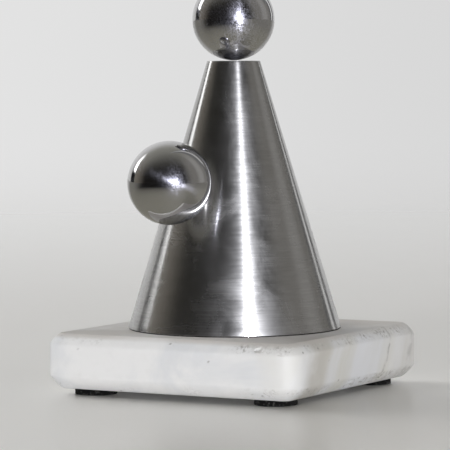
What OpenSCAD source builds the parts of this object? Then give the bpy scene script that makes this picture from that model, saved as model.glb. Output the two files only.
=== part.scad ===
// Magnetic desk sculpture: a brushed cone on a marble slab, with one polished steel ball standing
// on top and one held against the side. Millimetres, +Z up. The origin is on the cone's axis, in
// the plane that the felt feet stand on; the slab's sides lie along X and Y.

/* [Marble slab] */
// Length of each side of the slab
slab_side = 130; // [122:1:150]
// Thickness of the slab
slab_t = 25.5; // [24:0.5:34]
// Radius of the four upright corners
slab_corner_r = 10; // [6:1:14]
// Radius of the eased top edge
slab_top_r = 5; // [2:0.5:6]
// Radius of the eased bottom edge
slab_bottom_r = 6; // [2:0.5:8]

/* [Feet] */
// Diameter of a felt foot
foot_d = 20; // [14:1:24]
// Thickness of a felt foot
foot_t = 3; // [2:0.5:5]
// Distance between neighbouring feet, centre to centre
foot_pitch = 94; // [86:1:96]

/* [Cone] */
// Outside diameter at the cone's foot
cone_base_d = 99; // [94:0.5:104]
// Outside diameter at the cone's top
cone_top_d = 23.8; // [23.6:0.1:26]
// Height of the cone
cone_h = 123.7; // [118:0.1:132]
// Thickness of the cone's sheet, measured square to it
cone_wall = 1.2; // [0.8:0.1:1.2]

/* [Balls] */
// Diameter of both balls
ball_d = 38.1; // [32:0.1:42]
// Height of the side ball's centre above the cone's foot
side_ball_h = 68.8; // [64:0.1:74]
// Direction of the side ball round the cone, from +X
side_ball_angle = -97.6; // [-180:0.1:180]
// Air left between a ball and what holds it
ball_gap = 0.2; // [0.1:0.05:0.3]

/* [Magnets] */
// Diameter of the magnet under the top ball
top_magnet_d = 13; // [10:0.5:13]
// Thickness of the magnet under the top ball
top_magnet_t = 5; // [3:0.5:5]
// Diameter of the magnet behind the side ball
side_magnet_d = 16; // [12:0.5:16]
// Thickness of the magnet behind the side ball
side_magnet_t = 8; // [5:0.5:8]

/* [Hidden] */
$fn = 120;

// Small clearances
slip = 0.05;          // radial, on pieces that slide or screw together and then stay put
running = 0.06;       // radial, between the bushes and the rod they turn on
end_float = 0.1;      // axial, at each end of the carrier
wall_clear = 0.5;     // between the pole shoe and the inside of the cone
cut = 1;              // how far a cutter runs past the face it cuts

// Heights of the slab and the cone
slab_z = foot_t;
slab_top_z = slab_z + slab_t;
gasket_t = 0.4;
cone_z = slab_top_z + gasket_t;
cone_top_z = cone_z + cone_h;

// The cone's taper
slope = (cone_base_d - cone_top_d) / 2 / cone_h;
half_angle = atan(slope);
wall_across = cone_wall / cos(half_angle);
function outer_r(z) = cone_base_d / 2 - (z - cone_z) * slope;
function inner_r(z) = outer_r(z) - wall_across;

// Where the balls sit
ball_r = ball_d / 2;
top_ball_z = cone_top_z + ball_gap + ball_r;
side_ball_z = cone_z + side_ball_h;
side_ball_r = outer_r(side_ball_z) + (ball_r + ball_gap) / cos(half_angle);

// The side magnet's axis leaves the spindle here and runs out square to the cone's wall.
// Distances along it are measured from the spindle.
magnet_axis_z = side_ball_z - side_ball_r * slope;
wall_s = side_ball_r / cos(half_angle) - ball_r - ball_gap - cone_wall;
shoe_t = 3;
shoe_front_s = wall_s - wall_clear;
shoe_back_s = shoe_front_s - shoe_t;
magnet_back_s = shoe_back_s - side_magnet_t;
holder_floor = 2.5;
holder_wall = 1.5;
holder_back_s = magnet_back_s - holder_floor;
arm_start_s = 6.5;
arm_d = 8;

// Spindle and the hardware under the slab
rod_d = 6;
rod_hole_d = 7;
rod_bottom_z = slab_z + 2;
rod_bevel = 0.6;
pocket_d = 28;
pocket_depth = 13;
pocket_roof_z = slab_z + pocket_depth;
fibre_t = 1;
fibre_d = 24;
plate_t = 2;
plate_d = 22;
spring_t = 1.6;
spring_d = 10.6;
spring_slit = 1.2;
nut_t = 5;
nut_flats = 10;
cover_d = 40;
cover_t = 0.8;
fibre_z = pocket_roof_z - fibre_t;
plate_z = fibre_z - plate_t;
spring_z = plate_z - spring_t;
nut_z = spring_z - nut_t;

// The cap that closes the cone, and what it holds
cap_web = 1.5;
cap_spigot_r = inner_r(cone_top_z) - 0.15;
cap_spigot_l = 20;
cup_wall = 1.5;
cup_d = top_magnet_d + 2 * cup_wall;
cup_h = top_magnet_t + cup_wall;
cap_bore_r = cup_d / 2 + slip;
cap_bore_top_z = cone_top_z - cap_web;
cup_z = cap_bore_top_z - cup_h;
cap_bottom_z = cone_top_z - cap_spigot_l;
rod_top_z = cup_z - 3;

// The carrier that turns on the spindle
hub_d = 22;
hub_half_h = 11;
bush_d = 9;
bush_l = 6;
bush_flange_d = 13;
bush_flange_t = 1;
thrust_d = 12;
thrust_t = 0.5;
collar_d = 14;
collar_h = 7;
collar_screw_d = 3;
collar_screw_l = 3.6;
socket_flats = 1.5;
flange_end = hub_half_h + bush_flange_t;
thrust_start = flange_end + end_float;
collar_start = thrust_start + thrust_t;
holder_screw_d = 3;
holder_screw_head_d = 6;
holder_screw_l = 8;

// Colours
marble_white = [0.88, 0.88, 0.87];
felt_black = [0.08, 0.08, 0.08];
brushed_steel = [0.62, 0.61, 0.57];
polished_steel = [0.78, 0.79, 0.80];
plain_steel = [0.55, 0.56, 0.57];
nickel_plate = [0.72, 0.71, 0.68];
brass = [0.78, 0.63, 0.33];
bronze = [0.66, 0.46, 0.27];
aluminium = [0.75, 0.76, 0.77];
vulcan_fibre = [0.48, 0.16, 0.12];
nylon_white = [0.90, 0.89, 0.85];

// Flat ring or disc standing on z = 0
module ring(outer_d, inner_d, height) {
    difference() {
        cylinder(d = outer_d, h = height);
        translate([0, 0, -cut]) cylinder(d = inner_d, h = height + 2 * cut);
    }
}

// Square with round corners, seen from above
module round_square(side, r) {
    inset = side / 2 - r;
    square([side, side - 2 * r], center = true);
    square([side - 2 * r, side], center = true);
    for (x = [-inset, inset], y = [-inset, inset]) translate([x, y]) circle(r);
}

// Slab seen from the side: flat faces, with the top and bottom edges eased by different radii
module slab_profile() {
    half = slab_side / 2;
    translate([-half, slab_bottom_r])
        square([slab_side, slab_t - slab_top_r - slab_bottom_r]);
    translate([slab_bottom_r - half, 0])
        square([slab_side - 2 * slab_bottom_r, slab_t - slab_top_r]);
    translate([slab_top_r - half, slab_bottom_r])
        square([slab_side - 2 * slab_top_r, slab_t - slab_bottom_r]);
    for (way = [-1, 1]) {
        translate([way * (half - slab_bottom_r), slab_bottom_r]) circle(slab_bottom_r);
        translate([way * (half - slab_top_r), slab_t - slab_top_r]) circle(slab_top_r);
    }
}

// Bar of the slab's side profile, running along Y
module slab_bar() {
    rotate([90, 0, 0])
        linear_extrude(slab_side, center = true)
            slab_profile();
}

// Puts a piece on the side magnet's axis: its +X runs out through the wall to the side ball
module on_magnet_axis() {
    translate([0, 0, magnet_axis_z])
        rotate([0, 0, side_ball_angle])
            rotate([0, -half_angle, 0])
                children();
}

// Cylinder along the magnet axis between two distances from the spindle
module axis_rod(d, from, to) {
    translate([from, 0, 0]) rotate([0, 90, 0]) cylinder(d = d, h = to - from);
}

// One piece above the carrier and its mirror image below
module above_and_below() {
    translate([0, 0, magnet_axis_z]) {
        children();
        mirror([0, 0, 1]) children();
    }
}

// Space inside the cone, drawn in by a clearance square to the wall
module cone_inside(clearance) {
    inset = clearance / cos(half_angle);
    rotate_extrude()
        polygon([
            [0, cone_z], [inner_r(cone_z) - inset, cone_z],
            [inner_r(cone_top_z) - inset, cone_top_z], [0, cone_top_z]
        ]);
}

module marble_base() {
    color(marble_white)
        difference() {
            translate([0, 0, slab_z])
                intersection() {
                    linear_extrude(slab_t) round_square(slab_side, slab_corner_r);
                    slab_bar();
                    rotate([0, 0, 90]) slab_bar();
                }
            translate([0, 0, slab_z - cut]) cylinder(d = rod_hole_d, h = slab_t + 2 * cut);
            translate([0, 0, slab_z - cut]) cylinder(d = pocket_d, h = pocket_depth + cut);
        }
}

module felt_feet() {
    half = foot_pitch / 2;
    color(felt_black)
        for (x = [-half, half], y = [-half, half]) translate([x, y, 0]) cylinder(d = foot_d, h = foot_t);
}

// Thin felt disc stuck over the pocket under the slab
module hole_cover() {
    color(felt_black) translate([0, 0, slab_z - cover_t]) cylinder(d = cover_d, h = cover_t);
}

// Thin ring that the cone's edge stands on
module cone_gasket() {
    color(felt_black)
        translate([0, 0, slab_top_z])
            ring(cone_base_d - 0.3, 2 * inner_r(cone_z) + 0.1, gasket_t);
}

// Open cone of thin sheet; the cap closes its top
module cone_shell() {
    shell_top_z = cone_top_z - cap_web;
    color(brushed_steel)
        rotate_extrude()
            polygon([
                [inner_r(cone_z), cone_z], [outer_r(cone_z), cone_z],
                [outer_r(shell_top_z), shell_top_z], [inner_r(shell_top_z), shell_top_z]
            ]);
}

// Turned cap: its rim stands on the shell's top edge, and its bore holds the top magnet
module top_cap() {
    rim_z = cone_top_z - cap_web;
    color(brushed_steel)
        rotate_extrude()
            polygon([
                [0, cone_top_z], [outer_r(cone_top_z), cone_top_z], [outer_r(rim_z), rim_z],
                [cap_spigot_r, rim_z], [cap_spigot_r, cap_bottom_z],
                [cap_bore_r, cap_bottom_z], [cap_bore_r, cap_bore_top_z], [0, cap_bore_top_z]
            ]);
}

// Steel cup that turns the top magnet's pull upwards
module top_magnet_cup() {
    color(plain_steel)
        translate([0, 0, cup_z])
            difference() {
                cylinder(d = cup_d, h = cup_h);
                translate([0, 0, cup_wall]) cylinder(d = top_magnet_d, h = top_magnet_t + cut);
            }
}

module top_magnet() {
    color(nickel_plate)
        translate([0, 0, cup_z + cup_wall])
            cylinder(d = top_magnet_d - 2 * slip, h = top_magnet_t);
}

// Screws up into the cap behind the magnet; the tie rod screws into it
module anchor_plug() {
    color(brass)
        difference() {
            translate([0, 0, cap_bottom_z]) cylinder(r = cap_bore_r - slip, h = cup_z - cap_bottom_z);
            translate([0, 0, cap_bottom_z - cut])
                cylinder(d = rod_d, h = rod_top_z - cap_bottom_z + cut);
        }
}

// Screwed rod from the cap down through the slab; the carrier turns on its middle
module tie_rod() {
    color(plain_steel)
        rotate_extrude()
            polygon([
                [0, rod_bottom_z], [rod_d / 2 - rod_bevel, rod_bottom_z],
                [rod_d / 2, rod_bottom_z + rod_bevel],
                [rod_d / 2, rod_top_z - rod_bevel],
                [rod_d / 2 - rod_bevel, rod_top_z], [0, rod_top_z]
            ]);
}

// Plate that fills the cone's foot and keeps it in line with the rod
module centring_disc() {
    disc_top_z = cone_z + 2.6;
    hole_r = rod_d / 2 + 0.2;
    inset = 0.1;
    color(aluminium)
        rotate_extrude()
            polygon([
                [hole_r, slab_top_z], [inner_r(cone_z) - inset, slab_top_z],
                [inner_r(cone_z) - inset, cone_z], [inner_r(disc_top_z) - inset, disc_top_z],
                [hole_r, disc_top_z]
            ]);
}

// Collars that keep the carrier at its height on the rod
module shaft_collars() {
    color(plain_steel)
        above_and_below()
            translate([0, 0, collar_start])
                difference() {
                    ring(collar_d, rod_d, collar_h);
                    translate([0, 0, collar_h / 2])
                        rotate([0, 90, 0])
                            cylinder(d = collar_screw_d, h = collar_d);
                }
}

module collar_screws() {
    color(felt_black)
        above_and_below()
            translate([rod_d / 2, 0, collar_start + collar_h / 2])
                rotate([0, 90, 0])
                    difference() {
                        cylinder(d = collar_screw_d, h = collar_screw_l);
                        translate([0, 0, collar_screw_l - 1.6])
                            cylinder(d = socket_flats / cos(30), h = 1.6 + cut, $fn = 6);
                    }
}

module thrust_washers() {
    color(nylon_white)
        above_and_below()
            translate([0, 0, thrust_start])
                ring(thrust_d, rod_d + 2 * slip, thrust_t);
}

module fibre_washer() {
    color(vulcan_fibre) translate([0, 0, fibre_z]) ring(fibre_d, rod_d + 0.6, fibre_t);
}

module plate_washer() {
    color(plain_steel) translate([0, 0, plate_z]) ring(plate_d, rod_d + 0.4, plate_t);
}

// Split spring washer, pressed flat
module spring_washer() {
    color(plain_steel)
        translate([0, 0, spring_z])
            difference() {
                ring(spring_d, rod_d + 0.3, spring_t);
                translate([0, -spring_slit / 2, -cut])
                    cube([spring_d, spring_slit, spring_t + 2 * cut]);
            }
}

module clamp_nut() {
    color(plain_steel)
        translate([0, 0, nut_z])
            difference() {
                cylinder(d = nut_flats / cos(30), h = nut_t, $fn = 6);
                translate([0, 0, -cut]) cylinder(d = rod_d, h = nut_t + 2 * cut);
            }
}

// Hub that turns on the rod, bored through for its bushes and across for the arm
module carrier_hub() {
    color(aluminium)
        difference() {
            translate([0, 0, magnet_axis_z - hub_half_h]) ring(hub_d, bush_d, 2 * hub_half_h);
            on_magnet_axis() axis_rod(arm_d, arm_start_s, hub_d);
        }
}

// Flanged bushes, one in each end of the hub
module carrier_bushes() {
    bore_d = rod_d + 2 * running;
    color(bronze)
        above_and_below() {
            translate([0, 0, hub_half_h - bush_l]) ring(bush_d, bore_d, bush_l);
            translate([0, 0, hub_half_h]) ring(bush_flange_d, bore_d, bush_flange_t);
        }
}

// Short arm from the hub to the magnet's holder, drilled for the holder's screw
module carrier_arm() {
    color(aluminium)
        on_magnet_axis()
            difference() {
                axis_rod(arm_d, arm_start_s, holder_back_s);
                axis_rod(holder_screw_d, holder_back_s - holder_screw_l, holder_back_s + cut);
            }
}

// Brass cup round the side magnet, with a countersunk hole in its floor
module magnet_holder() {
    outer_d = side_magnet_d + 2 * holder_wall;
    sink = (holder_screw_head_d - holder_screw_d) / 2;
    color(brass)
        on_magnet_axis()
            difference() {
                axis_rod(outer_d, holder_back_s, shoe_back_s);
                axis_rod(side_magnet_d, magnet_back_s, shoe_back_s + cut);
                axis_rod(holder_screw_d, holder_back_s - cut, magnet_back_s + cut);
                translate([magnet_back_s - sink, 0, 0])
                    rotate([0, 90, 0])
                        cylinder(d1 = holder_screw_d, d2 = holder_screw_head_d, h = sink);
            }
}

// Countersunk screw that fixes the holder to the arm, under the magnet
module holder_screw() {
    sink = (holder_screw_head_d - holder_screw_d) / 2;
    color(plain_steel)
        on_magnet_axis()
            difference() {
                union() {
                    axis_rod(holder_screw_d, holder_back_s - holder_screw_l, magnet_back_s);
                    translate([magnet_back_s - sink, 0, 0])
                        rotate([0, 90, 0])
                            cylinder(d1 = holder_screw_d, d2 = holder_screw_head_d, h = sink);
                }
                translate([magnet_back_s - 1.2, 0, 0])
                    rotate([0, 90, 0])
                        cylinder(d = 2 / cos(30), h = 1.2 + cut, $fn = 6);
            }
}

module side_magnet() {
    color(nickel_plate)
        on_magnet_axis()
            axis_rod(side_magnet_d - 2 * slip, magnet_back_s, shoe_back_s);
}

// Soft iron shoe whose face follows the inside of the cone
module pole_shoe() {
    color(plain_steel)
        intersection() {
            on_magnet_axis() axis_rod(side_magnet_d, shoe_back_s, wall_s);
            cone_inside(wall_clear);
        }
}

module side_ball() {
    color(polished_steel)
        rotate([0, 0, side_ball_angle])
            translate([side_ball_r, 0, side_ball_z])
                sphere(d = ball_d);
}

module top_ball() {
    color(polished_steel) translate([0, 0, top_ball_z]) sphere(d = ball_d);
}

marble_base();
felt_feet();
hole_cover();
cone_gasket();
cone_shell();
top_cap();
top_magnet_cup();
top_magnet();
anchor_plug();
tie_rod();
centring_disc();
shaft_collars();
collar_screws();
thrust_washers();
fibre_washer();
plate_washer();
spring_washer();
clamp_nut();
carrier_hub();
carrier_bushes();
carrier_arm();
magnet_holder();
holder_screw();
side_magnet();
pole_shoe();
side_ball();
top_ball();
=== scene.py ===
import math

import bmesh
import bpy
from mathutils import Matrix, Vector, noise


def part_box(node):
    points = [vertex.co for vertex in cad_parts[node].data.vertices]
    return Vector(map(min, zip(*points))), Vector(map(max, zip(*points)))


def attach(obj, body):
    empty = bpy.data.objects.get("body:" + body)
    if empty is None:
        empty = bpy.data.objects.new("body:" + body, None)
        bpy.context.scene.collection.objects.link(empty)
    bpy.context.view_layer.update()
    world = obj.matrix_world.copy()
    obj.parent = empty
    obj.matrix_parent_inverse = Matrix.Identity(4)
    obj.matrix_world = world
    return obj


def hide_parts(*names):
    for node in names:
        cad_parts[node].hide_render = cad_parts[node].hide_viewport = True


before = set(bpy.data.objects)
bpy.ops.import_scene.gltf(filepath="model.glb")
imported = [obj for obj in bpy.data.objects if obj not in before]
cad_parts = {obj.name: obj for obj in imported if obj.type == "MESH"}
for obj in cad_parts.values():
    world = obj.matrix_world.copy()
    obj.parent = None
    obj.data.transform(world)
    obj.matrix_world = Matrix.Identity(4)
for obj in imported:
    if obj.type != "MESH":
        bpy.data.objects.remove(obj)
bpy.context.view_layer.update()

MM = 0.001
UP = Vector((0, 0, 1))
scene = bpy.context.scene
scene.view_settings.view_transform = "Standard"

ball_low, ball_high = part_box("top_ball")
BALL_D = ball_high.z - ball_low.z
SLAB_LOW, SLAB_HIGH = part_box("marble_base")
CONE_LOW, CONE_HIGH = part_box("cone_shell")
CAP_LOW, CAP_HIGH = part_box("top_cap")


# ---------------------------------------------------------------- camera

CAMERA_TURN = math.radians(29.17)    # round the cone, from -Y towards +X
CAMERA_REACH = 35 * BALL_D           # from the cone's axis
CAMERA_ROLL = math.radians(-0.26)
CAMERA_SHIFT = -0.0208               # share of the view's width
VIEW_WIDTH = 5.488 * BALL_D          # seen across at the cone's axis
TOWARDS_CAMERA = Vector((math.sin(CAMERA_TURN), -math.cos(CAMERA_TURN), 0))
RIGHT_OF_CAMERA = Vector((math.cos(CAMERA_TURN), math.sin(CAMERA_TURN), 0))
KEY_TURN = 16.5                      # degrees, from the camera towards its right


def place_camera():
    """A long lens, level with the cone's top and looking a little down at the cone's middle."""
    data = bpy.data.cameras.new("camera")
    data.sensor_width = 36
    data.lens = data.sensor_width * CAMERA_REACH / VIEW_WIDTH
    data.shift_x = CAMERA_SHIFT
    camera = bpy.data.objects.new("camera", data)
    scene.collection.objects.link(camera)
    camera.location = TOWARDS_CAMERA * CAMERA_REACH + UP * CAP_HIGH.z
    aim = UP * CAP_HIGH.z / 2
    camera.rotation_euler = (aim - camera.location).to_track_quat("-Z", "Y").to_euler()
    camera.rotation_euler.rotate_axis("Z", CAMERA_ROLL)
    scene.camera = camera


place_camera()


# ---------------------------------------------------------------- shader maths

class Signal:
    """The value of one socket. Arithmetic on signals adds Math nodes to their tree."""

    def __init__(self, tree, socket):
        self.tree = tree
        self.socket = socket

    def maths(self, operation, *values):
        sockets = dict(enumerate(values))
        return self.tree.add("ShaderNodeMath", {"operation": operation}, sockets)

    def __add__(self, other):
        return self.maths("ADD", self, other)

    def __sub__(self, other):
        return self.maths("SUBTRACT", self, other)

    def __rsub__(self, other):
        return self.maths("SUBTRACT", other, self)

    def __mul__(self, other):
        return self.maths("MULTIPLY", self, other)

    def __truediv__(self, other):
        return self.maths("DIVIDE", self, other)

    def __rtruediv__(self, other):
        return self.maths("DIVIDE", other, self)

    def __abs__(self):
        return self.maths("ABSOLUTE", self)

    __radd__ = __add__
    __rmul__ = __mul__

    def root(self):
        return self.maths("SQRT", self)

    def at_most(self, other):
        return self.maths("MINIMUM", self, other)

    def at_least(self, other):
        return self.maths("MAXIMUM", self, other)


class Shading:
    """One node tree, a material's or the world's, filled by add()."""

    def __init__(self, tree):
        self.nodes = tree.nodes
        self.links = tree.links
        self.nodes.clear()

    def add(self, kind, settings=None, sockets=None, out=0):
        """A node of this kind. Its settings come first, then the values or links of its sockets."""
        node = self.nodes.new(kind)
        for name, value in (settings or {}).items():
            setattr(node, name, value)
        for name, value in (sockets or {}).items():
            if isinstance(value, Signal):
                self.links.new(value.socket, node.inputs[name])
            else:
                node.inputs[name].default_value = value
        return Signal(self, node.outputs[out]) if node.outputs else node

    def step(self, value, start, end, low=0.0, high=1.0):
        """Goes smoothly from low to high as the value goes from start to end."""
        sockets = {0: value, 1: start, 2: end, 3: low, 4: high}
        return self.add("ShaderNodeMapRange", {"interpolation_type": "SMOOTHSTEP"}, sockets)

    def band(self, value, start, end, soft):
        """One between start and end, and nought outside, with soft sides."""
        rise = self.step(value, start - soft, start + soft)
        return rise * self.step(value, end - soft, end + soft, 1.0, 0.0)

    def mix(self, factor, first, second):
        """The second colour over the first."""
        settings = {"data_type": "RGBA"}
        return self.add("ShaderNodeMix", settings, {0: factor, 6: first, 7: second}, out=2)

    def dot(self, value, axis):
        """How far a vector reaches along an axis."""
        settings = {"operation": "DOT_PRODUCT"}
        return self.add("ShaderNodeVectorMath", settings, {0: value, 1: axis}, out="Value")

    def split(self, value):
        """The X, Y and Z of a vector."""
        node = self.add("ShaderNodeSeparateXYZ", {}, {0: value}).socket.node
        return [Signal(self, socket) for socket in node.outputs]

    def join(self, x, y, z):
        return self.add("ShaderNodeCombineXYZ", {}, {0: x, 1: y, 2: z})

    def noise(self, place, scale, detail=3.0, roughness=0.5, distortion=0.0):
        sockets = {
            "Vector": place, "Scale": scale, "Detail": detail,
            "Roughness": roughness, "Distortion": distortion,
        }
        return self.add("ShaderNodeTexNoise", {}, sockets)

    def cells(self, place, scale):
        """Distance to the nearest of many scattered points."""
        return self.add("ShaderNodeTexVoronoi", {}, {"Vector": place, "Scale": scale}, out="Distance")


def grey(value, warmth=0.0):
    """A grey, warmer or cooler by a small amount."""
    return (value * (1 + warmth), value, value * (1 - 1.6 * warmth), 1)


class Finish(Shading):
    """The surface of a piece, in the object's own coordinates."""

    def __init__(self, name):
        self.material = bpy.data.materials.new(name)
        self.material.use_nodes = True
        super().__init__(self.material.node_tree)
        self.place = self.add("ShaderNodeTexCoord", out="Object")

    def bump(self, height, distance, below=None):
        """A normal pushed about by a height. Distance is in metres."""
        sockets = {"Height": height, "Distance": distance, "Strength": 1.0}
        if below is not None:
            sockets["Normal"] = below
        return self.add("ShaderNodeBump", {}, sockets)

    def attribute(self, name):
        return self.add("ShaderNodeAttribute", {"attribute_name": name}, out="Fac")

    def surface(self, **sockets):
        """A Principled surface. An underscore in a name stands for a space."""
        named = {name.replace("_", " "): value for name, value in sockets.items()}
        return self.add("ShaderNodeBsdfPrincipled", {}, named)

    def done(self, shader):
        self.add("ShaderNodeOutputMaterial", {}, {"Surface": shader})
        return self.material

    def around_axis(self, turns, height):
        """Coordinates that vary slowly round the upright axis and fast along it."""
        x, y, z = self.split(self.place)
        radius = (x * x + y * y).root().at_least(0.1 * MM)
        return self.join(x / radius * turns, y / radius * turns, z * height)

    def scratches(self, scale, stretch, turns, width):
        """Fine straight scratches in a few directions: nought on a line and one elsewhere."""
        lines = None
        for number, turn in enumerate(turns):
            settings = {"vector_type": "TEXTURE"}
            sockets = {
                "Vector": self.place, "Location": (0.013 * number, 0.029 * number, 0.007 * number),
                "Rotation": turn, "Scale": (stretch, 1, 1),
            }
            laid = self.add("ShaderNodeMapping", settings, sockets)
            field = self.noise(laid, scale, 2.0, 0.6)
            line = self.step(abs(field - 0.5), 0.0, width)
            lines = line if lines is None else lines.at_most(line)
        return lines


# ---------------------------------------------------------------- studio

def level_way(turn):
    """A level direction, in degrees from the camera's side towards its right."""
    angle = math.radians(turn)
    return TOWARDS_CAMERA * math.cos(angle) + RIGHT_OF_CAMERA * math.sin(angle)


KEY_WAY = level_way(KEY_TURN)
KEY_SIZE = 0.18
KEY_WATTS = 46
GLOW_SPREAD = math.radians(28)
FLOOR_R = 25
PALE = grey(0.77)

# Bright and dark uprights far round to the right: start and end in degrees, and brightness.
LOW_UPRIGHTS = ((127, 134, 0.12), (135, 140, 1.1), (141, 148, 0.08))
HIGH_UPRIGHTS = ((118, 130, 0.2), (131, 136, 0.7), (137, 143, 0.25))

# Broad suns: name, turn from the camera in degrees, rise, strength and spread in degrees.
WASHES = (
    ("front_wash", -22, 0.06, 2.14, 12),
    ("side_wash", 84, 0.06, 1.42, 12),
    ("back_wash", -125, 0.8, 1.05, 40),
)


def studio_world():
    """What the polished balls and the cone reflect: a dim room, a pale backdrop and a softbox.

    Angles are in degrees: around is from the camera's side towards its right, and height is
    above the horizon. The camera itself sees only the backdrop.
    """
    world = bpy.data.worlds.new("studio")
    world.use_nodes = True
    scene.world = world
    sky = Shading(world.node_tree)
    way = sky.add("ShaderNodeTexCoord", out="Generated")
    right = sky.dot(way, RIGHT_OF_CAMERA)
    around = right.maths("ARCTAN2", right, sky.dot(way, TOWARDS_CAMERA)) * math.degrees(1)
    upward = sky.dot(way, UP)
    height = upward.maths("ARCSINE", upward) * math.degrees(1)
    depth = sky.dot(way, TOWARDS_CAMERA * -1)

    # The room is dark in front and olive overhead, and ends in the pale backdrop behind.
    colour = sky.mix(sky.step(depth, -0.85, 0.6), grey(0.03, 0.08), (0.35, 0.345, 0.31, 1))
    colour = sky.mix(sky.step(depth, 0.3, 1.0), colour, PALE)

    # A wall on the left that darkens towards the camera, and one on the right with a panel.
    left = sky.step(around, -120, -106) * sky.step(around, 30, 66, 1.0, 0.0)
    left_tone = sky.step(around, -108, -66, 0.20, 0.010)
    left_wall = sky.join(left_tone * 1.1, left_tone, left_tone * 0.86)
    colour = sky.mix(left * sky.step(height, 12, 66, 1.0, 0.0), colour, left_wall)
    right_wall = sky.step(around, 42, 76) * sky.step(around, 134, 144, 1.0, 0.0)
    wall_top = sky.step(height, 35, 80, 1.0, 0.0)
    colour = sky.mix(right_wall * wall_top, colour, grey(0.24, 0.04))
    panel = sky.band(around, 90, 112, 7) * wall_top
    colour = sky.mix(panel * 0.7, colour, grey(0.42, 0.02))

    # The backdrop, with a dark gap at its left end and uprights at its right end.
    backdrop = sky.mix(sky.step(right, -0.12, 0.12), PALE, grey(0.68))
    behind = sky.step(abs(around), 128, 162) * sky.step(height, 25, 60, 1.0, 0.0)
    colour = sky.mix(behind, colour, backdrop)
    gap = sky.band(around, -133, -113, 1.5) * sky.band(height, -2, 22, 1.5)
    colour = sky.mix(gap, colour, grey(0.01))
    low_down = sky.step(height, 20, 26, 1.0, 0.0)
    for uprights, where in ((LOW_UPRIGHTS, low_down), (HIGH_UPRIGHTS, 1 - low_down)):
        for start, end, level in uprights:
            colour = sky.mix(sky.band(around, start, end, 0.5) * where, colour, grey(level))

    # A leaning softbox far round to the left, and a lilac glow about the key lamp.
    leaning = around + (height - 19) * 0.35
    softbox = sky.band(leaning, -129, -116, 1.5) * sky.band(height, 15, 40, 3.0)
    colour = sky.mix(softbox, colour, sky.mix(sky.step(height, 18, 40), grey(4.5), grey(1.6)))
    glow = sky.step(sky.dot(way, KEY_WAY), math.cos(GLOW_SPREAD), 1.0)
    colour = sky.mix(glow * glow * 0.35, colour, (0.42, 0.42, 0.68, 1))

    seen = sky.add("ShaderNodeLightPath", out="Is Camera Ray")
    colour = sky.mix(seen, colour, backdrop)
    light = sky.add("ShaderNodeBackground", {}, {"Color": colour, "Strength": 1.0})
    sky.add("ShaderNodeOutputWorld", {}, {"Surface": light})


def key_lamp():
    """A small round lamp beside the camera, aimed at the cone, for glints and gloss alone."""
    data = bpy.data.lights.new("key_glint", "AREA")
    data.shape = "DISK"
    data.size = KEY_SIZE
    data.energy = KEY_WATTS
    data.color = (0.93, 0.94, 1.0)
    glint = bpy.data.objects.new("key_glint", data)
    scene.collection.objects.link(glint)
    glint.location = KEY_WAY * CAMERA_REACH + UP * CAP_HIGH.z
    aim = UP * CAP_HIGH.z / 2
    glint.rotation_euler = (aim - glint.location).to_track_quat("-Z", "Y").to_euler()
    glint.visible_diffuse = False
    glint.visible_camera = False


def broad_washes():
    """Three broad lights for the stone, the felt and the floor. Metal doesn't mirror them."""
    for name, turn, rise, strength, spread in WASHES:
        data = bpy.data.lights.new(name, "SUN")
        data.energy = strength
        data.angle = math.radians(spread)
        data.color = (0.99, 0.99, 1.0)
        wash = bpy.data.objects.new(name, data)
        scene.collection.objects.link(wash)
        wash.rotation_euler = (-level_way(turn) - UP * rise).to_track_quat("-Z", "Y").to_euler()
        wash.visible_glossy = False


def studio_floor():
    """A wide pale sheet with a soft gloss, fading out before the horizon.

    Metal mirrors the sheet in tones of its own, mostly darker, and without its gloss."""
    sheet = Finish("floor_sheet")
    x, y = sheet.split(sheet.place)[:2]
    away = (x * x + y * y).root()
    cloud = sheet.noise(sheet.place, 3.0, 3.0)
    pale = sheet.mix(cloud, (0.83, 0.82, 0.79, 1), (0.87, 0.86, 0.83, 1))

    # In the metal the sheet is dark at its near left end and pale behind the object.
    near_end = sheet.step(sheet.dot(sheet.place, TOWARDS_CAMERA) / away, -0.4, 0.3)
    left_end = sheet.step(sheet.dot(sheet.place, RIGHT_OF_CAMERA) / away, -0.1, 0.45, 1.0, 0.0)
    far = sheet.step(away, 0.1, 0.8) * near_end * left_end
    mirrored = sheet.mix(sheet.step(away, 0.1, 0.8), (0.50, 0.485, 0.42, 1), (0.41, 0.40, 0.37, 1))
    mirrored = sheet.mix(far, mirrored, grey(0.015, 0.06))
    behind = sheet.step(sheet.dot(sheet.place, TOWARDS_CAMERA) / away, -0.65, -0.95)
    mirrored = sheet.mix(behind * sheet.step(away, 0.1, 0.35), mirrored, grey(0.93))

    glossy = sheet.add("ShaderNodeLightPath", out="Is Glossy Ray")
    seen = sheet.add("ShaderNodeLightPath", out="Is Camera Ray")
    nearness = CAMERA_REACH / (away + CAMERA_REACH)
    # Painted shadow: the sheet turns darker and warmer beyond the object's front right.
    front_right_painted_shadow = sheet.step(sheet.dot(sheet.place, level_way(60)), 0.03, 0.16)
    pale = sheet.mix(front_right_painted_shadow * 0.7, pale, (0.70, 0.68, 0.64, 1))
    colour = sheet.mix(glossy, pale, mirrored)
    body = sheet.surface(
        Base_Color=colour, Roughness=0.3, Specular_IOR_Level=(1 - glossy) * 0.5,
        Alpha=sheet.step(nearness, 0.24, 0.88).at_least(1 - seen),
    )
    mesh = bpy.data.meshes.new("floor")
    shape = bmesh.new()
    bmesh.ops.create_circle(shape, cap_ends=True, radius=FLOOR_R, segments=96)
    shape.to_mesh(mesh)
    shape.free()
    mesh.materials.append(sheet.done(body))
    floor = bpy.data.objects.new("floor", mesh)
    scene.collection.objects.link(floor)


studio_world()
key_lamp()
broad_washes()
studio_floor()


# ---------------------------------------------------------------- mesh work

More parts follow.
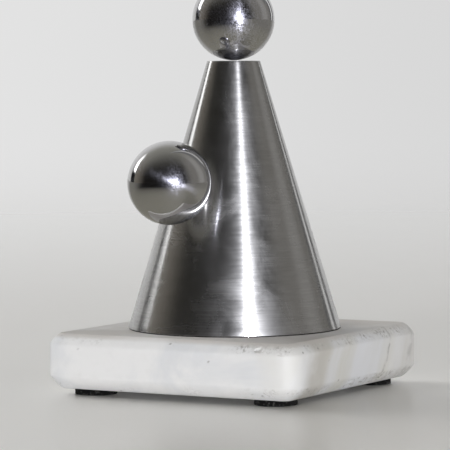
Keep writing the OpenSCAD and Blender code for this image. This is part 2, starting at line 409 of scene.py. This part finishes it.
def piece_from(name, shape, material, body, slot, *replaced):
    """Makes a bmesh a finished piece of the object, riding on a body."""
    bmesh.ops.recalc_face_normals(shape, faces=shape.faces)
    mesh = bpy.data.meshes.new(name)
    shape.to_mesh(mesh)
    shape.free()
    mesh.shade_smooth()
    mesh.set_sharp_from_angle(angle=math.radians(35))
    mesh.materials.append(material)
    piece = bpy.data.objects.new(name, mesh)
    scene.collection.objects.link(piece)
    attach(piece, body)
    if replaced:
        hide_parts(*replaced)


def add_turned(shape, profile, segments, centre=(0, 0)):
    """Adds a closed turned solid. The profile is a loop of (radius, height), or starts and ends
    on the axis."""
    rings = []
    for radius, height in profile:
        count = segments if radius > 0 else 1
        ring = []
        for number in range(count):
            angle = 2 * math.pi * number / segments
            x = centre[0] + radius * math.cos(angle)
            y = centre[1] + radius * math.sin(angle)
            ring.append(shape.verts.new((x, y, height)))
        rings.append(ring)
    pairs = list(zip(rings, rings[1:]))
    if profile[0][0] > 0:
        pairs.append((rings[-1], rings[0]))
    for first, second in pairs:
        for number in range(segments):
            following = (number + 1) % segments
            corners = [
                first[number % len(first)], first[following % len(first)],
                second[following % len(second)], second[number % len(second)],
            ]
            shape.faces.new(list(dict.fromkeys(corners)))


def eased(corner, before, after, radius, steps=4):
    """Points that round a profile's corner, between the points before and after it."""
    corner, before, after = Vector(corner), Vector(before), Vector(after)
    start = corner + (before - corner).normalized() * radius
    end = corner + (after - corner).normalized() * radius
    points = []
    for number in range(steps + 1):
        t = number / steps
        points.append(tuple(start * (1 - t) ** 2 + corner * 2 * t * (1 - t) + end * t * t))
    return points


def eased_loop(corners, radius, steps=3):
    """A closed profile with every corner rounded a little, apart from those on the axis."""
    points = []
    for number, corner in enumerate(corners):
        if corner[0] == 0:
            points.append(corner)
            continue
        following = corners[(number + 1) % len(corners)]
        points += eased(corner, corners[number - 1], following, radius, steps)
    return points


# ---------------------------------------------------------------- marble slab

CORNER_R = 10 * MM
TOP_EDGE_R = 5 * MM
BOTTOM_EDGE_R = 6 * MM
POCKET_R = 14 * MM
POCKET_H = 13 * MM
ROD_HOLE_R = 3.5 * MM
BEVEL_SHARE = 0.55                   # of each eased edge, the rest being round
SIDE_STEPS = 116
CORNER_STEPS = 26
WAVE_DEPTH = 0.22 * MM
CHIP_DEPTH = 5.5 * MM
PIT_DEPTH = 1.8 * MM


def slab_outline(inset):
    """The slab's plan, drawn in by the inset, as points evenly spaced round it."""
    reach = SLAB_HIGH.x - CORNER_R
    corner = CORNER_R - inset
    points = []
    for quarter in range(4):
        turn = quarter * math.pi / 2
        along = Vector((-math.sin(turn), math.cos(turn)))
        out = Vector((math.cos(turn), math.sin(turn)))
        for number in range(SIDE_STEPS):
            t = 2 * number / SIDE_STEPS - 1
            points.append(out * (reach + corner) + along * reach * t)
        for number in range(CORNER_STEPS):
            angle = turn + math.pi / 2 * number / CORNER_STEPS
            centre = (out + along) * reach
            points.append(centre + Vector((math.cos(angle), math.sin(angle))) * corner)
    return points


def slab_wear(point, edge):
    """How deep the stone is worn at a point, in metres, then how much of that is a fresh break,
    how much a pit, and how crumbled the arris is.

    Edge is 1 along an arris and 0 on a flat. Long soft waves come from polishing by hand, and
    small chips and pits gather along the arris, most of all on the +X side."""
    wave = WAVE_DEPTH * (1 + noise.noise(point * 42)) * (0.25 + edge)
    crumble = noise.turbulence(point * 330, 3, False)
    rough_side = max(0.0, min(1.0, (point.x - 20 * MM) / (35 * MM)))
    where = noise.noise(point * 42 + Vector((3.1, 0.4, 7.7))) + 0.5 * rough_side
    chip = max(0.0, where - 0.2) * max(0.0, crumble - 0.35) * edge
    spot = noise.voronoi(point * 520)
    keep = noise.cell(spot[1][0] * 7 + Vector((0.3, 0.1, 0.9)))
    rare = 0.985 - 0.7 * min(1.0, edge * 1.5) * max(0.0, where)
    pit = max(0.0, 0.28 - spot[0][0]) if keep > rare else 0.0
    depth = wave + CHIP_DEPTH * chip + PIT_DEPTH * pit
    return depth, min(1.0, chip * 7), min(1.0, pit * 9), min(1.0, edge * max(0.0, where) * 2)


def flattened_round(radius, count):
    """An eased edge, part round and part bevel: (inset, rise, how near the arris) in turn."""
    points = []
    for number in range(count):
        t = number / (count - 1)
        angle = math.pi / 2 * t
        inset = radius * (BEVEL_SHARE * (1 - t) + (1 - BEVEL_SHARE) * (1 - math.sin(angle)))
        rise = radius * (BEVEL_SHARE * t + (1 - BEVEL_SHARE) * (1 - math.cos(angle)))
        points.append((inset, rise, math.sin(2 * angle)))
    return points


def slab_profile():
    """Rows from the rod hole, over the pocket, the underside, the edge and the top.

    Each row is (ring, height, edge), where a ring is an inset of the outline or a share of the
    way to a circle: (inset, share, circle radius)."""
    low, high = SLAB_LOW.z, SLAB_HIGH.z
    roof = low + POCKET_H
    rows = [((0, 1, ROD_HOLE_R), high, 0), ((0, 1, ROD_HOLE_R), roof, 0)]
    rows += [((0, 1, POCKET_R), roof, 0), ((0, 1, POCKET_R), low, 0)]
    for share in (0.97, 0.85, 0.7, 0.55, 0.42, 0.3, 0.2, 0.12, 0.06, 0.02):
        rows.append(((BOTTOM_EDGE_R, share, POCKET_R), low, 0))
    for inset, rise, edge in flattened_round(BOTTOM_EDGE_R, 15):
        rows.append(((inset, 0, 0), low + rise, edge))
    side_low, side_high = low + BOTTOM_EDGE_R, high - TOP_EDGE_R
    for number in range(1, 22):
        height = side_low + (side_high - side_low) * number / 22
        rows.append(((0, 0, 0), height, 0))
    for inset, rise, edge in reversed(flattened_round(TOP_EDGE_R, 17)):
        rows.append(((inset, 0, 0), high - rise, edge))
    for number in range(1, 34):
        share = (number / 34) ** 1.6
        rows.append(((TOP_EDGE_R, share, ROD_HOLE_R), high, 0.25 * (1 - number / 34) ** 6))
    return rows


def marble_slab():
    """The square slab: one closed skin, with its edges eased and worn by hand."""
    shape = bmesh.new()
    chips = shape.verts.layers.float.new("chip")
    pits = shape.verts.layers.float.new("pit")
    arrises = shape.verts.layers.float.new("arris")
    cone_foot_r = CONE_HIGH.x + 1 * MM
    middle = (SLAB_LOW.z + SLAB_HIGH.z) / 2
    rows = []
    for (inset, share, circle), height, edge in slab_profile():
        row = []
        for point in slab_outline(inset):
            flat = point.lerp(point.normalized() * circle, share) if share else point
            place = Vector((flat.x, flat.y, height))
            vert = shape.verts.new(place)
            if flat.length > cone_foot_r or (height < SLAB_HIGH.z and flat.length > 2 * POCKET_R):
                depth, vert[chips], vert[pits], vert[arrises] = slab_wear(place, edge)
                drawn_in = Vector((place.x, place.y, 0))
                reach = max(abs(place.x), abs(place.y))
                side = max(0.0, min(1.0, (reach - (SLAB_HIGH.x - TOP_EDGE_R)) / TOP_EDGE_R))
                way = drawn_in.normalized() * side
                way.z = (1 - side) * (1 if height > middle else -1)
                vert.co -= way.normalized() * depth
            row.append(vert)
        rows.append(row)
    for first, second in zip(rows, rows[1:] + rows[:1]):
        for number, vert in enumerate(first):
            following = (number + 1) % len(first)
            shape.faces.new((vert, first[following], second[following], second[number]))
    piece_from("marble_slab", shape, marble_finish(), "base", "marble", "marble_base")


def marble_finish():
    """White marble: lilac clouds, beige and grey beds, thin dark veins and a crumbled arris."""
    stone = Finish("marble")
    warp = stone.noise(stone.place, 22, 4.0)
    x, y, z = stone.split(stone.place)
    clouds = stone.noise(stone.place, 26, 5.0, 0.55, 0.8)
    fine = stone.noise(stone.place, 170, 4.0, 0.6)
    colour = stone.mix(stone.step(clouds, 0.38, 0.64), grey(0.84, 0.002), grey(0.75, -0.014))
    colour = stone.mix(stone.step(fine, 0.45, 0.8) * 0.25, colour, grey(0.72, 0.008))

    # Bedding crosses the slab, so its +X side shows it as soft upright bands.
    lean = (z - 15 * MM) * 0.4
    bedding = y - lean + (warp - 0.5) * 22 * MM
    greyer = stone.step(x + (warp - 0.5) * 30 * MM, 46 * MM, 66 * MM)
    colour = stone.mix(greyer * 0.5, colour, grey(0.72, 0.008))
    stripes = stone.noise(stone.join(0.0, bedding * 55, z * 10), 1.0, 3.0, 0.5)
    beige = stone.step(stripes, 0.42, 0.7) * greyer
    colour = stone.mix(beige * 0.85, colour, (0.64, 0.625, 0.56, 1))
    blue = stone.band(bedding, -6 * MM, 22 * MM, 9 * MM) * greyer
    colour = stone.mix(blue * 0.6, colour, (0.74, 0.75, 0.78, 1))
    far_end = stone.step(bedding, 26 * MM, 50 * MM) * greyer
    colour = stone.mix(far_end * 0.6, colour, grey(0.62, 0.012))

    # Two broken veins: place across the beds and width, both in mm, and strength.
    for offset, width, strength in ((27, 1.2, 0.75), (50, 3.5, 0.5)):
        gap = abs(bedding - offset * MM)
        vein = stone.step(gap, 0.0, width * MM, 1.0, 0.0) * greyer
        broken = stone.step(fine, 0.3, 0.6)
        colour = stone.mix(vein * broken * strength, colour, grey(0.33, 0.03))

    corner = stone.step(y - x * 0.4, -84 * MM, -64 * MM, 1.0, 0.0) * stone.step(x, 40 * MM, 60 * MM)
    colour = stone.mix(corner * 0.6, colour, grey(0.92))
    smoky = stone.band(bedding, -46 * MM, -28 * MM, 6 * MM) * stone.step(clouds, 0.4, 0.6)
    colour = stone.mix(smoky * greyer * 0.9, colour, (0.57, 0.55, 0.51, 1))

    # Wear: the arris crumbles in patches. Chips and pits are darker, the more so the deeper they are.
    crumbs = stone.noise(stone.place, 620, 4.0, 0.7)
    arris = stone.attribute("arris")
    patches = stone.step(stone.noise(stone.place, 95, 4.0, 0.6), 0.42, 0.6)
    crumbled = arris * patches * stone.step(crumbs, 0.45, 0.62)
    colour = stone.mix(crumbled * 0.8, colour, grey(0.34, 0.04))
    colour = stone.mix(arris * stone.step(crumbs, 0.32, 0.46, 1.0, 0.0) * 0.5, colour, grey(0.86))
    chip = stone.attribute("chip")
    pit = stone.attribute("pit")
    colour = stone.mix(chip * 0.35, colour, grey(0.55, 0.03))
    colour = stone.mix(pit * 0.8, colour, grey(0.2, 0.05))
    # Painted shade: the whole top face is made darker and warmer, in uneven patches, as the low light
    # leaves it dim.
    on_top = stone.step(z, SLAB_HIGH.z - 2.5 * MM, SLAB_HIGH.z - 0.5 * MM)
    stain_and_painted_shade = on_top * stone.step(warp, 0.35, 0.6, 0.3, 0.85)
    colour = stone.mix(stain_and_painted_shade, colour, (0.60, 0.57, 0.535, 1))

    sugar = stone.noise(stone.place, 900, 3.0, 0.7)
    bump = stone.bump(sugar, 0.015 * MM, stone.bump(fine, 0.05 * MM))
    bump = stone.bump(crumbs * arris, 0.3 * MM, bump)
    shine = stone.step(clouds, 0.3, 0.7, 0.48, 0.6) + chip * 0.3
    shader = stone.surface(
        Base_Color=colour, Roughness=shine, Normal=bump, Specular_IOR_Level=0.22,
    )
    return stone.done(shader)


# ---------------------------------------------------------------- felt

FOOT_R = 10 * MM
RIM_GAP = 0.25 * MM                  # the pad's body stands this far inside its stated radius
RIM_LEVELS = 6
FIBRE_LENGTH = 0.5 * MM
FIBRE_R = 0.022 * MM
FOOT_FIBRES = 9e6                    # per square metre of rim
COVER_FIBRES = 5e6


def felt_finish():
    """Black felt with paler fibres showing."""
    felt = Finish("felt")
    weave = felt.noise(felt.place, 2600, 4.0, 0.7)
    lint = felt.noise(felt.place, 900, 2.0)
    colour = felt.mix(felt.step(weave, 0.45, 0.75), grey(0.002), grey(0.016, 0.02))
    colour = felt.mix(felt.step(lint, 0.56, 0.66) * 0.7, colour, grey(0.10, 0.03))
    bump = felt.bump(weave, 0.15 * MM)
    shader = felt.surface(
        Base_Color=colour, Roughness=0.95, Normal=bump, Sheen_Weight=0.05, Sheen_Roughness=0.5,
        Specular_IOR_Level=0.05,
    )
    return felt.done(shader)


def fibre_tree(material):
    """Short felt fibres scattered over a pad's rim, each lying at its own angle."""
    tree = bpy.data.node_groups.new("felt_fibres", "GeometryNodeTree")
    new_socket = tree.interface.new_socket
    new_socket("Pad", in_out="INPUT", socket_type="NodeSocketGeometry")
    new_socket("Fibres per square metre", in_out="INPUT", socket_type="NodeSocketFloat")
    new_socket("Fibre length", in_out="INPUT", socket_type="NodeSocketFloat")
    new_socket("Fibre radius", in_out="INPUT", socket_type="NodeSocketFloat")
    new_socket("Lowest fibre", in_out="INPUT", socket_type="NodeSocketFloat")
    new_socket("Highest fibre", in_out="INPUT", socket_type="NodeSocketFloat")
    new_socket("Seed", in_out="INPUT", socket_type="NodeSocketInt")
    new_socket("Pad", in_out="OUTPUT", socket_type="NodeSocketGeometry")
    flow = Shading(tree)
    given = flow.nodes.new("NodeGroupInput").outputs
    pad, density, length, radius, lowest, highest, seed = [
        Signal(flow, socket) for socket in given[:7]
    ]
    place = flow.add("GeometryNodeInputPosition")
    z = flow.split(place)[2]
    above = flow.add("FunctionNodeCompare", {"operation": "GREATER_THAN"}, {0: z, 1: lowest})
    below = flow.add("FunctionNodeCompare", {"operation": "LESS_THAN"}, {0: z, 1: highest})
    inside = flow.add("FunctionNodeBooleanMath", {"operation": "AND"}, {0: above, 1: below})
    scatter = flow.add(
        "GeometryNodeDistributePointsOnFaces", {},
        {"Mesh": pad, "Selection": inside, "Density": density, "Seed": seed},
    )
    upright = Signal(flow, scatter.socket.node.outputs["Rotation"])
    tilt = flow.add(
        "FunctionNodeRandomValue", {"data_type": "FLOAT_VECTOR"},
        {0: (-1.3, -1.3, -3.1), 1: (1.3, 1.3, 3.1), "Seed": seed},
    )
    laid = flow.add(
        "FunctionNodeRotateRotation", {"rotation_space": "LOCAL"},
        {0: upright, 1: tilt},
    )
    fibre = flow.add(
        "GeometryNodeMeshCone", {"fill_type": "NGON"},
        {"Vertices": 3, "Side Segments": 1, "Fill Segments": 1, "Radius Top": 0.0,
         "Radius Bottom": radius, "Depth": length},
    )
    fibres = flow.add(
        "GeometryNodeInstanceOnPoints", {},
        {"Points": scatter, "Instance": fibre, "Rotation": laid},
    )
    real = flow.add("GeometryNodeRealizeInstances", {}, {0: fibres})
    both = flow.nodes.new("GeometryNodeJoinGeometry")
    flow.links.new(real.socket, both.inputs[0])
    flow.links.new(pad.socket, both.inputs[0])
    painted = flow.add(
        "GeometryNodeSetMaterial", {},
        {"Geometry": Signal(flow, both.outputs[0]), "Material": material},
    )
    flow.add("NodeGroupOutput", {}, {0: painted})
    return tree


def felt_pads(name, node, centres, radius, low, high, material, tree, density):
    """Round felt pads with a soft rim and loose fibres standing out of it."""
    shape = bmesh.new()
    soft = 0.3 * MM
    body_r = radius - RIM_GAP
    corners = [(0, low), (body_r, low), (body_r, high), (0, high)]
    rim = eased_loop(corners, min(soft, (high - low) / 3))
    profile = []
    for first, second in zip(rim, rim[1:]):
        profile.append(first)
        if first[0] == second[0] == body_r:
            gap = (second[1] - first[1]) / RIM_LEVELS
            profile += [(body_r, first[1] + gap * number) for number in range(1, RIM_LEVELS)]
    profile.append(rim[-1])
    for centre in centres:
        add_turned(shape, profile, 96, centre)
    for vert in shape.verts:
        rough = noise.noise(vert.co * 1400) * 0.12 * MM + noise.noise(vert.co * 420) * 0.08 * MM
        near = min(centres, key=lambda centre: (vert.co.xy - Vector(centre)).length)
        out = vert.co.xy - Vector(near)
        if out.length > radius / 2:
            out = out.normalized() * min(0.0, rough - 0.05 * MM)
            vert.co.x += out.x
            vert.co.y += out.y
    bmesh.ops.recalc_face_normals(shape, faces=shape.faces)
    mesh = bpy.data.meshes.new(name)
    shape.to_mesh(mesh)
    shape.free()
    mesh.shade_smooth()
    mesh.materials.append(material)
    bare = bpy.data.objects.new(name + "_bare", mesh)
    scene.collection.objects.link(bare)
    fuzz = bare.modifiers.new("fibres", "NODES")
    fuzz.node_group = tree
    values = {
        "Fibres per square metre": density, "Fibre length": FIBRE_LENGTH, "Fibre radius": FIBRE_R,
        "Lowest fibre": low + 0.45 * MM * (high - low) / (3 * MM),
        "Highest fibre": high - 0.3 * MM * (high - low) / (3 * MM), "Seed": 11,
    }
    for item in tree.interface.items_tree:
        if item.in_out == "INPUT" and item.name in values:
            fuzz[item.identifier] = values[item.name]
    graph = bpy.context.evaluated_depsgraph_get()
    grown = bpy.data.meshes.new_from_object(bare.evaluated_get(graph))
    bare.modifiers.remove(fuzz)
    bpy.data.objects.remove(bare)
    grown.name = name
    pads = bpy.data.objects.new(name, grown)
    scene.collection.objects.link(pads)
    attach(pads, "base")
    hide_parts(node)


def felt_under_slab():
    """Four feet, and the disc stuck over the pocket. Returns their felt."""
    material = felt_finish()
    tree = fibre_tree(material)
    foot_low, foot_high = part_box("felt_feet")
    reach = foot_high.x - FOOT_R
    centres = [(x * reach, y * reach) for x in (-1, 1) for y in (-1, 1)]
    felt_pads("felt_feet_pads", "felt_feet", centres, FOOT_R, foot_low.z, foot_high.z,
              material, tree, FOOT_FIBRES)
    cover_low, cover_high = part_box("hole_cover")
    felt_pads("hole_cover_pad", "hole_cover", [(0, 0)], cover_high.x, cover_low.z, cover_high.z,
              material, tree, COVER_FIBRES)
    return material


# ---------------------------------------------------------------- cone

WALL_T = 1.2 * MM
ROUND_SEGMENTS = 320
WALL_LEVELS = 40
SPIGOT_GAP = 0.15 * MM
MAGNET_BORE_R = 8.05 * MM
CAP_WEB_T = 1.5 * MM


def brushed_finish():
    """Stainless sheet brushed round and round, with smudges and a few specks."""
    steel = Finish("brushed_steel")
    coarse = steel.noise(steel.around_axis(3.0, 1500), 1.0, 3.0, 0.6)
    fine = steel.noise(steel.around_axis(7.0, 5000), 1.0, 2.0, 0.6)
    smudge = steel.noise(steel.place, 46, 5.0, 0.6, 1.0)
    blotch = steel.noise(steel.around_axis(2.2, 50), 1.0, 4.0, 0.55, 0.6)
    speck = steel.cells(steel.place, 260)
    colour = steel.mix(steel.step(coarse, 0.3, 0.7), grey(0.41, 0.008), grey(0.47, 0.008))
    colour = steel.mix(steel.step(fine, 0.3, 0.7) * 0.3, colour, grey(0.54, 0.0))
    colour = steel.mix(steel.step(smudge, 0.54, 0.75) * 0.16, colour, grey(0.30, 0.015))
    dust = steel.step(speck, 0.035, 0.06, 1.0, 0.0) * steel.step(smudge, 0.5, 0.56)
    colour = steel.mix(dust * 0.6, colour, grey(0.85))
    shine = steel.step(coarse, 0.3, 0.7, 0.175, 0.20) + steel.step(smudge, 0.45, 0.75) * 0.01
    bump = steel.bump(fine, 0.00008 * MM, steel.bump(coarse, 0.00025 * MM))
    brushed = steel.surface(
        Base_Color=colour, Metallic=1.0, Roughness=shine, Normal=bump,
        Anisotropic=0.85, Anisotropic_Rotation=0.25,
    )
    haze = steel.surface(
        Base_Color=colour, Metallic=1.0, Roughness=0.41, Normal=bump,
        Anisotropic=0.35, Anisotropic_Rotation=0.25,
    )
    lower = steel.step(steel.split(steel.place)[2], CONE_LOW.z, CAP_HIGH.z, 1.05, 0.7)
    torn = blotch + (coarse - 0.5) * 0.15
    spread = steel.step(torn, 0.30, 0.72, 0.10, 0.38) * lower
    return steel.done(steel.add("ShaderNodeMixShader", {}, {0: spread, 1: brushed, 2: haze}))


def cone_and_cap():
    """The rolled and ground cone, and the turned cap that closes it flush."""
    material = brushed_finish()
    shape = bmesh.new()
    foot_r, top_r = CONE_HIGH.x, CAP_HIGH.x
    slope = (foot_r - top_r) / (CAP_HIGH.z - CONE_LOW.z)
    seam_r = foot_r - slope * (CONE_HIGH.z - CONE_LOW.z)
    wall = WALL_T / math.cos(math.atan(slope))
    outer = [(foot_r, CONE_LOW.z), (seam_r, CONE_HIGH.z)]
    inner = [(seam_r - wall, CONE_HIGH.z), (foot_r - wall, CONE_LOW.z)]
    profile = eased(outer[0], inner[1], outer[1], 0.25 * MM)
    for number in range(1, WALL_LEVELS):
        share = number / WALL_LEVELS
        height = CONE_LOW.z + (CONE_HIGH.z - CONE_LOW.z) * share
        profile.append((foot_r - slope * (height - CONE_LOW.z), height))
    profile += [outer[1], inner[0]]
    profile += eased(inner[1], inner[0], outer[0], 0.15 * MM)
    add_turned(shape, profile, ROUND_SEGMENTS)
    piece_from("cone_wall", shape, material, "base", "brushed_steel", "cone_shell")

    shape = bmesh.new()
    spigot_r = seam_r - wall - SPIGOT_GAP
    bore_roof = CAP_HIGH.z - CAP_WEB_T
    corner = (top_r, CAP_HIGH.z)
    profile = [(0, CAP_HIGH.z)]
    profile += [(top_r * number / 12, CAP_HIGH.z) for number in range(1, 12)]
    profile += eased(corner, (0, CAP_HIGH.z), (seam_r, CONE_HIGH.z), 0.3 * MM)
    profile += [(seam_r, CONE_HIGH.z), (spigot_r, CONE_HIGH.z)]
    profile += eased((spigot_r, CAP_LOW.z), (spigot_r, CONE_HIGH.z), (0, CAP_LOW.z), 0.5 * MM)
    mouth, roof_edge = (MAGNET_BORE_R, CAP_LOW.z), (MAGNET_BORE_R, bore_roof)
    profile += eased(mouth, (spigot_r, CAP_LOW.z), roof_edge, 0.4 * MM)
    profile += [roof_edge, (0, bore_roof)]
    add_turned(shape, profile, ROUND_SEGMENTS)
    piece_from("cone_cap", shape, material, "base", "brushed_steel", "top_cap")


# ---------------------------------------------------------------- balls

# How each set of scratches is turned, in radians about X, Y and Z.
SCRATCH_TURNS = [(0.3, 0.9, 0.2), (1.2, 0.2, 1.0), (2.2, 1.4, 0.4), (0.8, 0.1, 1.5)]


def polished_finish(name, rub, halo, draw, draw_turn):
    """Hard polished steel that cloths have rubbed.

    Two weak hazes lie over the mirror: a round one and one drawn out along the wiping, whose
    shares are halo and draw. Scratches strengthen both, by rub."""
    steel = Finish(name)
    cloud = steel.noise(steel.place, 60, 4.0)
    hair = steel.scratches(1100, 30, SCRATCH_TURNS, 0.016)
    rubbed = steel.noise(steel.place, 240, 4.0, 0.65, 0.8)
    colour = steel.mix(steel.step(cloud, 0.35, 0.65), grey(0.54, 0.006), grey(0.58, 0.006))
    shine = steel.step(cloud, 0.3, 0.7, 0.03, 0.05)
    mirror = steel.surface(Base_Color=colour, Metallic=1.0, Roughness=shine)
    # Painted tint: both hazes reflect in lilac, which gives the halo and flare round each highlight a
    # bluish colour like the key lamp's.
    lilac = steel.mix(hair, (0.66, 0.66, 0.74, 1), (0.56, 0.56, 0.66, 1))
    haze = steel.surface(
        Base_Color=lilac, Metallic=1.0, Roughness=0.38,
        Anisotropic=0.4, Anisotropic_Rotation=0.25,
    )
    flare = steel.surface(
        Base_Color=lilac, Metallic=1.0, Roughness=0.27, Anisotropic=0.9,
        Anisotropic_Rotation=draw_turn,
    )
    wiped = steel.step(rubbed, 0.4, 0.62, 0.002, halo) + (1 - hair) * rub
    both = steel.add("ShaderNodeMixShader", {}, {0: wiped, 1: mirror, 2: haze})
    drawn = steel.step(rubbed, 0.38, 0.62, draw * 0.2, draw) + (1 - hair) * rub * 0.5
    return steel.done(steel.add("ShaderNodeMixShader", {}, {0: drawn, 1: both, 2: flare}))


def polished_ball(name, node, body, material):
    """A bearing ball, as near round as its mesh allows."""
    low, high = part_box(node)
    centre = (low + high) / 2
    shape = bmesh.new()
    bmesh.ops.create_icosphere(shape, subdivisions=7, radius=BALL_D / 2)
    for vert in shape.verts:
        dent = max(0.0, noise.noise(vert.co * 160) - 0.55) * 0.02 * MM
        vert.co -= vert.co.normalized() * dent
        vert.co += centre
    piece_from(name, shape, material, body, "polished_steel", node)


# ---------------------------------------------------------------- hidden hardware

def turned_finish(name, colour, shade, roughness, pitch=2600):
    """Metal as it leaves the lathe: fine rings about the upright axis, and stains."""
    metal = Finish(name)
    rings = metal.noise(metal.around_axis(1.5, pitch), 1.0, 2.0, 0.6)
    stain_and_painted_shade = metal.noise(metal.place, 120, 4.0, 0.6)
    tone = metal.mix(metal.step(rings, 0.35, 0.7), colour, shade)
    tone = metal.mix(metal.step(stain_and_painted_shade, 0.5, 0.8) * 0.4, tone, shade)
    shine = metal.step(stain_and_painted_shade, 0.3, 0.7, roughness, roughness + 0.15)
    bump = metal.bump(rings, 0.01 * MM)
    return metal.done(metal.surface(Base_Color=tone, Metallic=1.0, Roughness=shine, Normal=bump))


def plated_finish():
    """Bright nickel over a sintered magnet, with its edges a little worn."""
    metal = Finish("nickel_plate")
    orange_peel = metal.noise(metal.place, 700, 2.0)
    handling = metal.noise(metal.place, 150, 4.0, 0.6)
    tone = metal.mix(metal.step(handling, 0.5, 0.75), grey(0.66, 0.02), grey(0.5, 0.03))
    shine = metal.step(handling, 0.35, 0.7, 0.1, 0.25)
    bump = metal.bump(orange_peel, 0.01 * MM)
    return metal.done(metal.surface(Base_Color=tone, Metallic=1.0, Roughness=shine, Normal=bump))


def bronze_finish():
    """Sintered bronze, porous and oily."""
    metal = Finish("bronze")
    pores = metal.cells(metal.place, 2600)
    oil = metal.noise(metal.place, 300, 3.0)
    open_pore = metal.step(pores, 0.12, 0.3, 1.0, 0.0)
    tone = metal.mix(metal.step(oil, 0.4, 0.7), (0.52, 0.31, 0.15, 1), (0.36, 0.20, 0.09, 1))
    tone = metal.mix(open_pore * 0.7, tone, (0.08, 0.05, 0.03, 1))
    shine = metal.step(oil, 0.35, 0.7, 0.28, 0.45)
    bump = metal.bump(1 - open_pore, 0.02 * MM)
    return metal.done(metal.surface(Base_Color=tone, Metallic=1.0, Roughness=shine, Normal=bump))


def fibre_finish():
    """Vulcanised fibre: red-brown, mottled and faintly layered."""
    board = Finish("vulcan_fibre")
    mottle = board.noise(board.place, 700, 4.0, 0.65)
    x, y, z = board.split(board.place)
    layers = board.noise(board.join(x * 60, y * 60, z * 9000), 1.0, 2.0)
    tone = board.mix(board.step(mottle, 0.35, 0.7), (0.20, 0.045, 0.03, 1), (0.30, 0.08, 0.05, 1))
    tone = board.mix(board.step(layers, 0.5, 0.7) * 0.4, tone, (0.14, 0.03, 0.02, 1))
    bump = board.bump(mottle, 0.03 * MM)
    shine = board.step(mottle, 0.3, 0.7, 0.55, 0.75)
    return board.done(board.surface(Base_Color=tone, Roughness=shine, Normal=bump))


def nylon_finish():
    """Natural nylon, milky, with faint turning rings."""
    plastic = Finish("nylon")
    rings = plastic.noise(plastic.around_axis(1.0, 1800), 1.0, 2.0)
    milk = plastic.noise(plastic.place, 200, 3.0)
    tone = plastic.mix(plastic.step(milk, 0.3, 0.7), (0.72, 0.69, 0.60, 1), (0.80, 0.78, 0.70, 1))
    shine = plastic.step(rings, 0.3, 0.7, 0.35, 0.5)
    bump = plastic.bump(rings, 0.02 * MM)
    return plastic.done(plastic.surface(Base_Color=tone, Roughness=shine, Normal=bump))


def oxide_finish():
    """Black oxide on a small screw, worn to steel in specks."""
    metal = Finish("black_oxide")
    grain = metal.noise(metal.place, 1800, 4.0, 0.65)
    worn = metal.step(grain, 0.66, 0.74)
    tone = metal.mix(worn, grey(0.025, 0.01), grey(0.3, 0.02))
    shine = metal.step(grain, 0.3, 0.7, 0.32, 0.5)
    bump = metal.bump(grain, 0.01 * MM)
    return metal.done(metal.surface(Base_Color=tone, Metallic=0.9, Roughness=shine, Normal=bump))


def paint(node, material):
    """Puts a finish on a carried-over solid."""
    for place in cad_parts[node].material_slots:
        place.material = material


def paint_hardware():
    """Every sealed-in piece gets the finish of its own metal or plastic."""
    plain = turned_finish("plain_steel", grey(0.50, 0.01), grey(0.38, 0.015), 0.3)
    brass = turned_finish("brass", (0.74, 0.52, 0.20, 1), (0.55, 0.36, 0.13, 1), 0.24)
    aluminium = turned_finish("aluminium", grey(0.80), grey(0.66, 0.01), 0.3, 1900)
    finishes = {
        plain: ["top_magnet_cup", "tie_rod", "shaft_collars", "plate_washer", "spring_washer",
                "clamp_nut", "holder_screw", "pole_shoe"],
        brass: ["anchor_plug", "magnet_holder"],
        aluminium: ["centring_disc", "carrier_hub", "carrier_arm"],
        plated_finish(): ["top_magnet", "side_magnet"],
        bronze_finish(): ["carrier_bushes"],
        fibre_finish(): ["fibre_washer"],
        nylon_finish(): ["thrust_washers"],
        oxide_finish(): ["collar_screws"],
    }
    for material, nodes in finishes.items():
        for node in nodes:
            paint(node, material)


# ---------------------------------------------------------------- the object

marble_slab()
paint("cone_gasket", felt_under_slab())
cone_and_cap()
wiped_round = polished_finish(
    "polished_steel_top", rub=0.30, halo=0.09, draw=0.02, draw_turn=0.25,
)
wiped_across = polished_finish(
    "polished_steel_side", rub=0.14, halo=0.02, draw=0.06, draw_turn=0.94,
)
polished_ball("top_bearing_ball", "top_ball", "top_ball", wiped_round)
polished_ball("side_bearing_ball", "side_ball", "side_ball", wiped_across)
paint_hardware()
